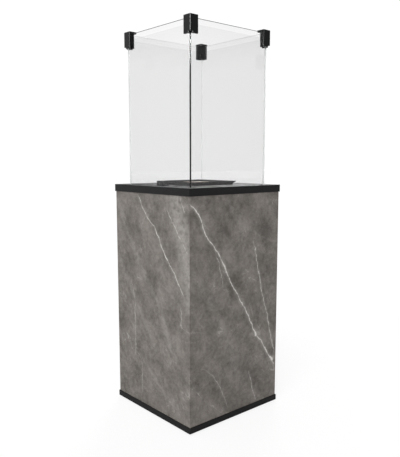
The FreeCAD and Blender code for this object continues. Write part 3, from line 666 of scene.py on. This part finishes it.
class PLINTH_OT_stage(PlinthOperator, Operator):
    """Sets up the studio: pale floor, soft light and the camera"""
    bl_idname = "plinth.stage"
    bl_label = "Studio and camera"

    def execute(self, context):
        look, scene = settings(), context.scene
        lens = bpy.data.cameras.new("studio_camera")
        lens.lens, lens.sensor_width, lens.sensor_fit = look.lens, 36.0, "AUTO"
        lens.shift_y, lens.clip_end = CAMERA_SHIFT, 100.0
        camera = bpy.data.objects.new("studio_camera", lens)
        camera.location = look.camera_place
        camera.rotation_euler = Euler((math.radians(90 - CAMERA_TILT), 0,
                                       math.radians(CAMERA_HEADING)))
        scene.collection.objects.link(camera)
        scene.camera = camera
        floor = bpy.data.meshes.new("studio_floor")
        corners = [(30 * sx, 30 * sy, 0) for sx, sy in ((-1, -1), (1, -1), (1, 1), (-1, 1))]
        floor.from_pydata(corners, [], [(0, 1, 2, 3)])
        ground = bpy.data.objects.new("studio_floor", floor)
        scene.collection.objects.link(ground)
        material, tree, shader, _, place = blank("matt_studio_paper")
        fibre = add(tree, "TexNoise", {"Vector": place, "Scale": grain(30), "Detail": 2.0})
        fleck = add(tree, "MapRange", {"Value": fibre, "To Min": 0.99, "To Max": 1.0})
        shade = add(tree, "VectorMath", {0: tuple(look.floor), "Scale": fleck}, operation="SCALE")
        seen = plain_sight(tree)
        lit = add(tree, "MapRange", {"Value": seen, "To Min": FLOOR_LIT, "To Max": FLOOR_SEEN})
        glow = add(tree, "MapRange", {"Value": seen, "To Min": 0.0, "To Max": FLOOR_GLOW})
        shade = add(tree, "VectorMath", {0: shade, "Scale": lit}, operation="SCALE")
        plug(tree, shader, Base_Color=shade, Roughness=0.9, IOR=1.1,
             Emission_Color=(1, 1, 1, 1), Emission_Strength=glow)
        floor.materials.append(material)
        world = bpy.data.worlds.new("studio")
        world.use_nodes = True
        tree = world.node_tree
        tree.nodes.clear()
        seen = plain_sight(tree)
        sky = add(tree, "TexCoord").outputs["Generated"]
        aim = add(tree, "VectorMath", {0: sky, 1: BRIGHT_WAY},
                  operation="DOT_PRODUCT").outputs["Value"]
        around = add(tree, "MapRange", {"Value": aim, "From Min": -0.7, "From Max": 0.9,
                                        "To Min": look.dim_side, "To Max": look.bright_side})
        power = add(tree, "Mix", {0: seen, 2: around, 3: BACKDROP_GLOW}).outputs[0]
        backdrop = add(tree, "Background", {"Color": (1, 1, 1, 1), "Strength": power})
        add(tree, "OutputWorld", {"Surface": backdrop})
        scene.world = world
        for name, angles, strength, softness in (("key", (38, 0, -62), look.key, 25),
                                                 ("front", (77, 0, -50), look.front, 8),
                                                 ("back", (60, 0, 130), look.back, 20)):
            lamp = bpy.data.lights.new("studio_" + name, "SUN")
            lamp.energy, lamp.angle = strength, math.radians(softness)
            light = bpy.data.objects.new("studio_" + name, lamp)
            light.rotation_euler = Euler([math.radians(a) for a in angles])
            scene.collection.objects.link(light)
        scene.view_settings.view_transform = "Standard"
        return {"FINISHED"}


class PLINTH_OT_base(PlinthOperator, Operator):
    """Makes the folded base tray, its rubber feet and the seat for the cylinder"""
    bl_idname = "plinth.base"
    bl_label = "Base"

    def execute(self, context):
        kit, look = finishes(), settings()
        softened("base_tray", "black_powder_coat", kit["coat"], look.fold_radius)
        softened("cylinder_seat", "black_powder_coat", kit["coat"], 0.6)
        foot = turned([(0, 23), (17.2, 23), (18, 22), (18, 6), (17, 1.2), (15.8, 0), (7, 0),
                       (6.2, 1), (6, 6), (0, 6)])
        places = [at(FOOT_AT * sx, FOOT_AT * sy, 0) for sx in (-1, 1) for sy in (-1, 1)]
        stand("rubber_feet_turned", gathered([(foot, p) for p in places]), "cabinet", "silicone",
              kit["silicone"], replaces=("rubber_feet",))
        coated("foot_screws", kit["zinc"])
        return {"FINISHED"}


class PLINTH_OT_lining(PlinthOperator, Operator):
    """Makes the corner posts, backing sheets, top frame and heat shield inside the cabinet"""
    bl_idname = "plinth.lining"
    bl_label = "Frame and lining"

    def execute(self, context):
        kit = finishes()
        for node in ("post_front_left", "post_front_right", "post_rear_left", "post_rear_right"):
            softened(node, "zinc_steel", kit["zinc"], 0.5)
        for node in ("backing_front", "backing_left", "backing_right"):
            softened(node, "zinc_steel", kit["zinc"], 0.3)
        softened("top_frame", "black_powder_coat", kit["coat"], 0.6)
        softened("heat_shield", "stainless_steel", kit["stainless"], 0.3)
        for node in ("frame_screws", "shield_standoffs"):
            softened(node, "zinc_steel", kit["zinc"], 0.3)
        return {"FINISHED"}


class PLINTH_OT_cladding(PlinthOperator, Operator):
    """Makes the stone slabs with their ground arrises and veins"""
    bl_idname = "plinth.cladding"
    bl_label = "Stone cladding"

    def execute(self, context):
        kit, look = finishes(), settings()
        for node, finish in (("stone_front", "stone_near"), ("stone_left", "stone_left"),
                             ("stone_right", "stone_right")):
            softened(node, "stone", kit[finish], look.stone_arris)
        return {"FINISHED"}


class PLINTH_OT_deck(PlinthOperator, Operator):
    """Makes the folded deck border and the deck plate"""
    bl_idname = "plinth.deck"
    bl_label = "Deck"

    def execute(self, context):
        kit, look = finishes(), settings()
        softened("deck_border", "black_powder_coat", kit["deck_coat"], look.fold_radius, 3)
        softened("deck_plate", "black_powder_coat", kit["deck_coat"], 0.6)
        return {"FINISHED"}


class PLINTH_OT_glass(PlinthOperator, Operator):
    """Makes the four panes with their ground edges and edges of painted shade, channels and gaskets
    """
    bl_idname = "plinth.glass"
    bl_label = "Glass guard"

    def execute(self, context):
        kit, look = finishes(), settings()
        for node in ("pane_front", "pane_rear", "pane_left", "pane_right"):
            front = node in ("pane_front", "pane_left")
            pane = softened(node, "guard_glass", kit["glass_near" if front else "glass"], 0, 1,
                            (kit["ground"], kit["polished"], kit["arrised"]))
            low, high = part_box(node)
            thin = min(range(3), key=lambda k: high[k] - low[k])
            for face in pane.data.polygons:
                # Faces at the near corner and on the near panes' tops take edge colours of painted
                # shade.
                near = max(face.center.x, face.center.y) < NEAR_CORNER
                top_painted_shade = front and face.normal.z > 0.9
                flat = abs(face.normal[thin]) > 0.9
                face.material_index = 0 if flat else 3 if top_painted_shade else 2 if near else 1
            round_edges(pane, look.pane_arris, 1)
        softened("glass_channels", "aluminium_channel", kit["aluminium"], 0.3)
        softened("glass_gaskets", "silicone", kit["silicone"], 0.2)
        return {"FINISHED"}


class PLINTH_OT_clips(PlinthOperator, Operator):
    """Makes the cast corner clips, their inner blocks, pads and screws"""
    bl_idname = "plinth.clips"
    bl_label = "Corner clips"

    def execute(self, context):
        kit, look = finishes(), settings()
        softened("clip_covers", "clip_casting", kit["casting"], look.clip_chamfer, 1)
        softened("clip_blocks", "clip_casting", kit["rough_casting"], 0.8, 1)
        softened("clip_pads", "silicone", kit["silicone"], 0.15)
        head = lofted([(6, 1.45, -1.5), (6, 1.45, 0), (24, 3.85, 0), (24, 4.0, -0.1),
                       (24, 2.0, -2), (24, 2.0, -25)])
        spots = [at(CLIP_AT * sx, CLIP_AT * sy, CLIP_TOP) for sx in (-1, 1) for sy in (-1, 1)]
        stand("clip_screws_countersunk", gathered([(head, spot) for spot in spots]), "cabinet",
              "zinc_steel", kit["zinc"], smooth=False, replaces=("clip_screws",))
        return {"FINISHED"}


class PLINTH_OT_burner(PlinthOperator, Operator):
    """Makes the burner tray, plenum, port plate and mixer tube"""
    bl_idname = "plinth.burner"
    bl_label = "Burner"

    def execute(self, context):
        kit = finishes()
        softened("burner_tray", "black_powder_coat", kit["tray_coat"], 0.6)
        softened("burner_plate", "stainless_steel", kit["blued"], 0.3)
        softened("burner_plenum", "stainless_steel", kit["stainless"], 0.4)
        softened("mixer_tube", "stainless_steel", kit["stainless"], 0.3)
        softened("injector", "brass", kit["brass"], 0.3)
        return {"FINISHED"}


class PLINTH_OT_pilot(PlinthOperator, Operator):
    """Makes the pilot burner, its spark electrode, thermocouple and guard"""
    bl_idname = "plinth.pilot"
    bl_label = "Pilot"

    def execute(self, context):
        kit = finishes()
        softened("pilot_guard", "black_powder_coat", kit["tray_coat"], 0.4)
        softened("pilot_burner", "stainless_steel", kit["stainless"], 0.2)
        spark = softened("spark_electrode", "spark_ceramic", kit["alumina"], 0.15, 2,
                         (kit["stainless"],))
        for face in spark.data.polygons:
            wire = (face.center.xy - Vector(WIRE_AT)).length < WIRE_REACH
            face.material_index = 1 if wire else 0
        softened("thermocouple", "stainless_steel", kit["stainless"], 0.2)
        return {"FINISHED"}


class PLINTH_OT_controls(PlinthOperator, Operator):
    """Makes the control panel and its recess, the knob and the igniter"""
    bl_idname = "plinth.controls"
    bl_label = "Controls"

    def execute(self, context):
        kit, look = finishes(), settings()
        softened("control_panel", "black_powder_coat", kit["coat"], 0.6)
        softened("control_niche", "black_powder_coat", kit["coat"], 0.4)
        head = lofted([(6, 1.73, 0.5), (6, 1.73, 1.6), (24, 3.3, 1.6), (24, 4.2, 1.1),
                       (24, 4.5, 0.4), (24, 4.5, 0), (24, 2.5, 0), (24, 2.5, -14)])
        spots = [at(x, PANEL_SCREW_Y, z, REAR) for x in (-PANEL_SCREW_X, PANEL_SCREW_X)
                 for z in PANEL_SCREW_Z]
        stand("panel_screws_turned", gathered([(head, spot) for spot in spots]), "cabinet",
              "zinc_steel", kit["zinc"], smooth=False, replaces=("panel_screws",))
        softened("valve_spindle", "stainless_steel", kit["stainless"], 0.2)
        softened("valve_pushrod", "stainless_steel", kit["stainless"], 0.2)
        self.knob(kit, look)
        self.dial(kit)
        softened("igniter_body", "black_nylon", kit["nylon"], 0.4)
        softened("igniter_nut", "stainless_steel", kit["stainless"], 0.3)
        button = turned([(0, 21.2), (4.6, 21.2), (5.8, 21.7), (6.8, 21.9), (7.6, 21.4), (8, 20.4),
                         (8, 0.4), (7.6, 0), (0, 0)], 48)
        stand("igniter_button_turned", gathered([(button, at(*IGNITER_AT, REAR))]),
              "igniter_button", "red_nylon", kit["button"], replaces=("igniter_button",))
        return {"FINISHED"}

    def knob(self, kit, look):
        """A ribbed drum on a flange, with a grip bar across it and a white pointer in the bar."""
        drum = turned([(0, 21.6), (15.2, 21.6), (16.6, 21.2), (17.4, 20.2), (18, 5.6), (18.5, 4.6),
                       (19.6, 4.2), (20, 3.6), (20, 0.5), (19.5, 0), (4.3, 0), (4.02, 0.4),
                       (4.02, 13.9), (0, 13.9)], 60)
        rib = slab(-0.7, 0.7, 16.8, 18.7, 5.4, 19.4)
        bar = bpy.data.objects.new("bar", slab(-3, 3, -17, 17, 20.5, 28))
        bpy.context.scene.collection.objects.link(bar)
        bar = applied(round_edges(bar, 1.4, 3))
        x, y, z = KNOB_AT
        up = at(x, y, z, REAR)
        ribs = [(rib, up @ Matrix.Rotation(math.tau * k / look.knob_ribs, 4, "Z"))
                for k in range(look.knob_ribs)]
        stand("control_knob_moulded", gathered([(drum, up), (bar, up), *ribs]), "control_turn",
              "black_nylon", kit["nylon"], replaces=("control_knob",))
        line = slab(x - 0.8, x + 0.8, y + 27.7, y + 28.06, z + 4, z + 15.2)
        round_edges(stand("knob_pointer", line, "control_turn", "black_nylon", kit["print"]), 0.1)

    def dial(self, kit):
        """Printed marks on the recess's back: a dot for off, and a wedge that widens to full."""
        ink = 0.15
        x, _, z = KNOB_AT
        shape = bmesh.new()
        reach = [math.radians(a) for a in range(55, 186, 5)]
        rows = []
        for k, turn in enumerate(reach):
            wide = 0.6 + 3.6 * k / (len(reach) - 1)
            rows.append([shape.verts.new((MM * (x + r * math.sin(turn)), MM * y,
                                          MM * (z + r * math.cos(turn))))
                         for r in (23.0, 23.0 + wide) for y in (NICHE_BACK, NICHE_BACK + ink)])
        for one, two in zip(rows, rows[1:]):
            for a, b in ((0, 1), (1, 3), (3, 2), (2, 0)):
                shape.faces.new((one[a], one[b], two[b], two[a]))
        for end in (rows[0], rows[-1]):
            shape.faces.new([end[k] for k in (0, 1, 3, 2)])
        bmesh.ops.recalc_face_normals(shape, faces=shape.faces)
        wedge = bpy.data.meshes.new("wedge")
        shape.to_mesh(wedge)
        shape.free()
        dot = turned([(0, ink), (1.9, ink), (2, 0.1), (2, 0), (0, 0)], 24)
        star = lofted([(4, 3.4, ink), (4, 3.4, 0.0)])
        slim = Matrix.Scale(0.35, 4, (1, 0, 0))
        star_x, star_z = IGNITER_AT[0], IGNITER_AT[2] + 22
        marks = [(wedge, Matrix.Identity(4)), (dot, at(x, NICHE_BACK, z + 26, REAR)),
                 (star, at(star_x, NICHE_BACK, star_z, REAR)),
                 (star, at(star_x, NICHE_BACK + 0.05, star_z, REAR) @ slim)]
        stand("dial_marks", gathered(marks), "cabinet", "black_powder_coat", kit["print"],
              smooth=False)


class PLINTH_OT_gas_train(PlinthOperator, Operator):
    """Makes the gas valve, its pipes and the inlet"""
    bl_idname = "plinth.gas_train"
    bl_label = "Gas train"

    def execute(self, context):
        kit = finishes()
        softened("gas_valve", "brass", kit["brass"], 0.8)
        softened("gas_inlet", "brass", kit["brass"], 0.4)
        for node in ("supply_pipe", "pilot_pipe", "inlet_pipe"):
            softened(node, "copper_pipe", kit["copper"], 0.2)
        return {"FINISHED"}


class PLINTH_OT_door(PlinthOperator, Operator):
    """Makes the door with its frame, stone, finger pull, pins, strike and catch"""
    bl_idname = "plinth.door"
    bl_label = "Door"

    def execute(self, context):
        kit, look = finishes(), settings()
        softened("door_frame", "black_powder_coat", kit["coat"], 0.6)
        softened("door_stone", "stone", kit["stone_door"], look.stone_arris)
        softened("door_pull", "black_nylon", kit["nylon"], 0.6)
        softened("door_pins", "zinc_steel", kit["zinc"], 0.3)
        softened("door_strike", "zinc_steel", kit["zinc"], 0.3)
        softened("pivot_bushes", "black_nylon", kit["nylon"], 0.2)
        softened("magnet_catch", "black_nylon", kit["nylon"], 0.6)
        return {"FINISHED"}


class PLINTH_PT_pieces(Panel):
    """Lists the plinth's groups of pieces and its settings"""
    bl_label = "Stone-clad plinth"
    bl_idname = "PLINTH_PT_pieces"
    bl_space_type = "VIEW_3D"
    bl_region_type = "UI"
    bl_category = "Plinth"

    def draw(self, context):
        column = self.layout.column(align=True)
        for step in STEPS:
            column.operator(step.bl_idname)
        column = self.layout.column()
        for key in PlinthSettings.__annotations__:
            column.prop(context.scene.plinth, key)


STEPS = (PLINTH_OT_stage, PLINTH_OT_base, PLINTH_OT_lining, PLINTH_OT_cladding, PLINTH_OT_deck,
         PLINTH_OT_glass, PLINTH_OT_clips, PLINTH_OT_burner, PLINTH_OT_pilot, PLINTH_OT_controls,
         PLINTH_OT_gas_train, PLINTH_OT_door)
CLASSES = (PlinthSettings, *STEPS, PLINTH_PT_pieces)


def register():
    for cls in CLASSES:
        bpy.utils.register_class(cls)
    bpy.types.Scene.plinth = PointerProperty(type=PlinthSettings)


def unregister():
    del bpy.types.Scene.plinth
    for cls in reversed(CLASSES):
        bpy.utils.unregister_class(cls)


def main():
    register()
    for step in STEPS:
        group, verb = step.bl_idname.split(".")
        getattr(getattr(bpy.ops, group), verb)()


if __name__ == "__main__":
    main()
